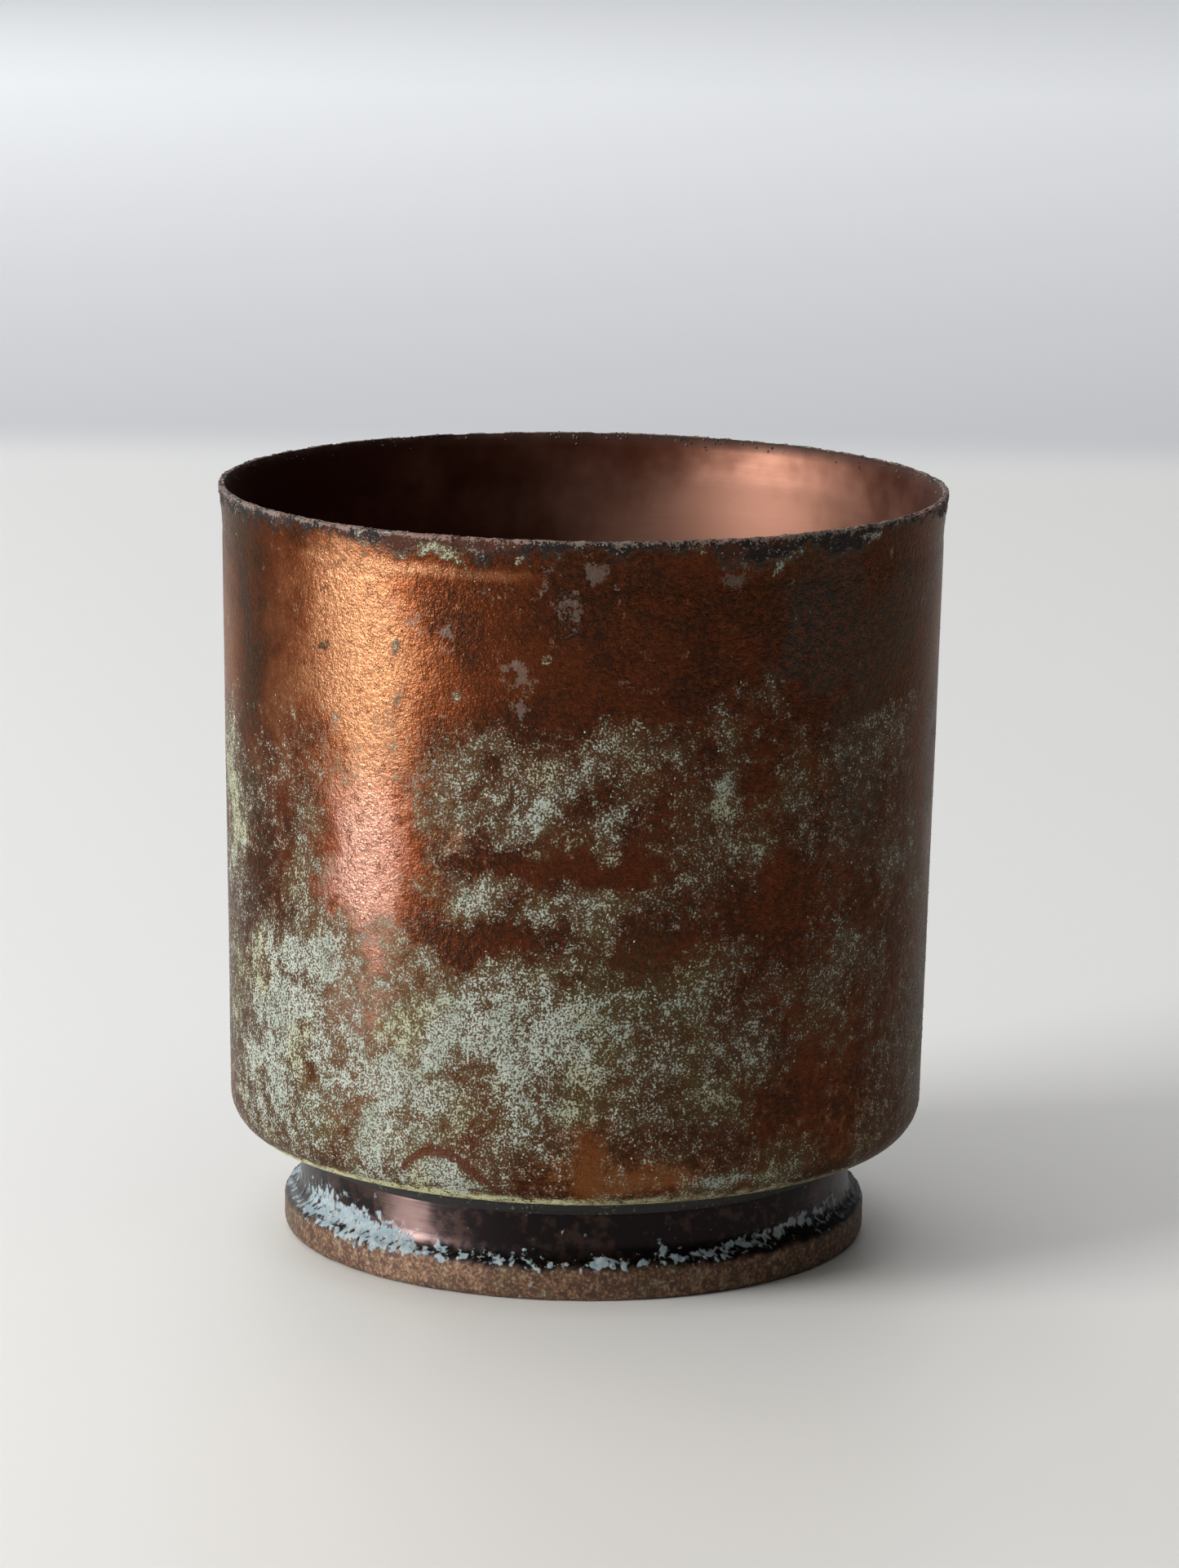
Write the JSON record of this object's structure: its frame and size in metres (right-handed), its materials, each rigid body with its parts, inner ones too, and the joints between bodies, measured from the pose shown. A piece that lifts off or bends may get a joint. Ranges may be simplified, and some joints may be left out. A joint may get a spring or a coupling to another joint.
{
  "type": "footed copper pot",
  "caption": "Straight-sided open pot of patinated sheet copper with a thin raw mouth, a rounded heel and a low flared foot ring soldered under it.",
  "frame": {"origin": "centre of the circle that the foot's hem stands on", "axes": "+Z is the pot's axis and points out of its mouth; it is a body of revolution, so X and Y are free"},
  "size_m": [0.1, 0.1, 0.1046],
  "materials": {
    "cup_copper": "aged copper sheet, brown and orange, speckled with pale green verdigris",
    "foot_copper": "copper blackened on the neck, pale blue-green crust over a brown hem",
    "solder": "dull grey soft solder"
  },
  "bodies": {
    "root": {"vessel_body": "cup_copper", "foot_ring": "foot_copper", "solder_joint": "solder"}
  },
  "joints": []
}
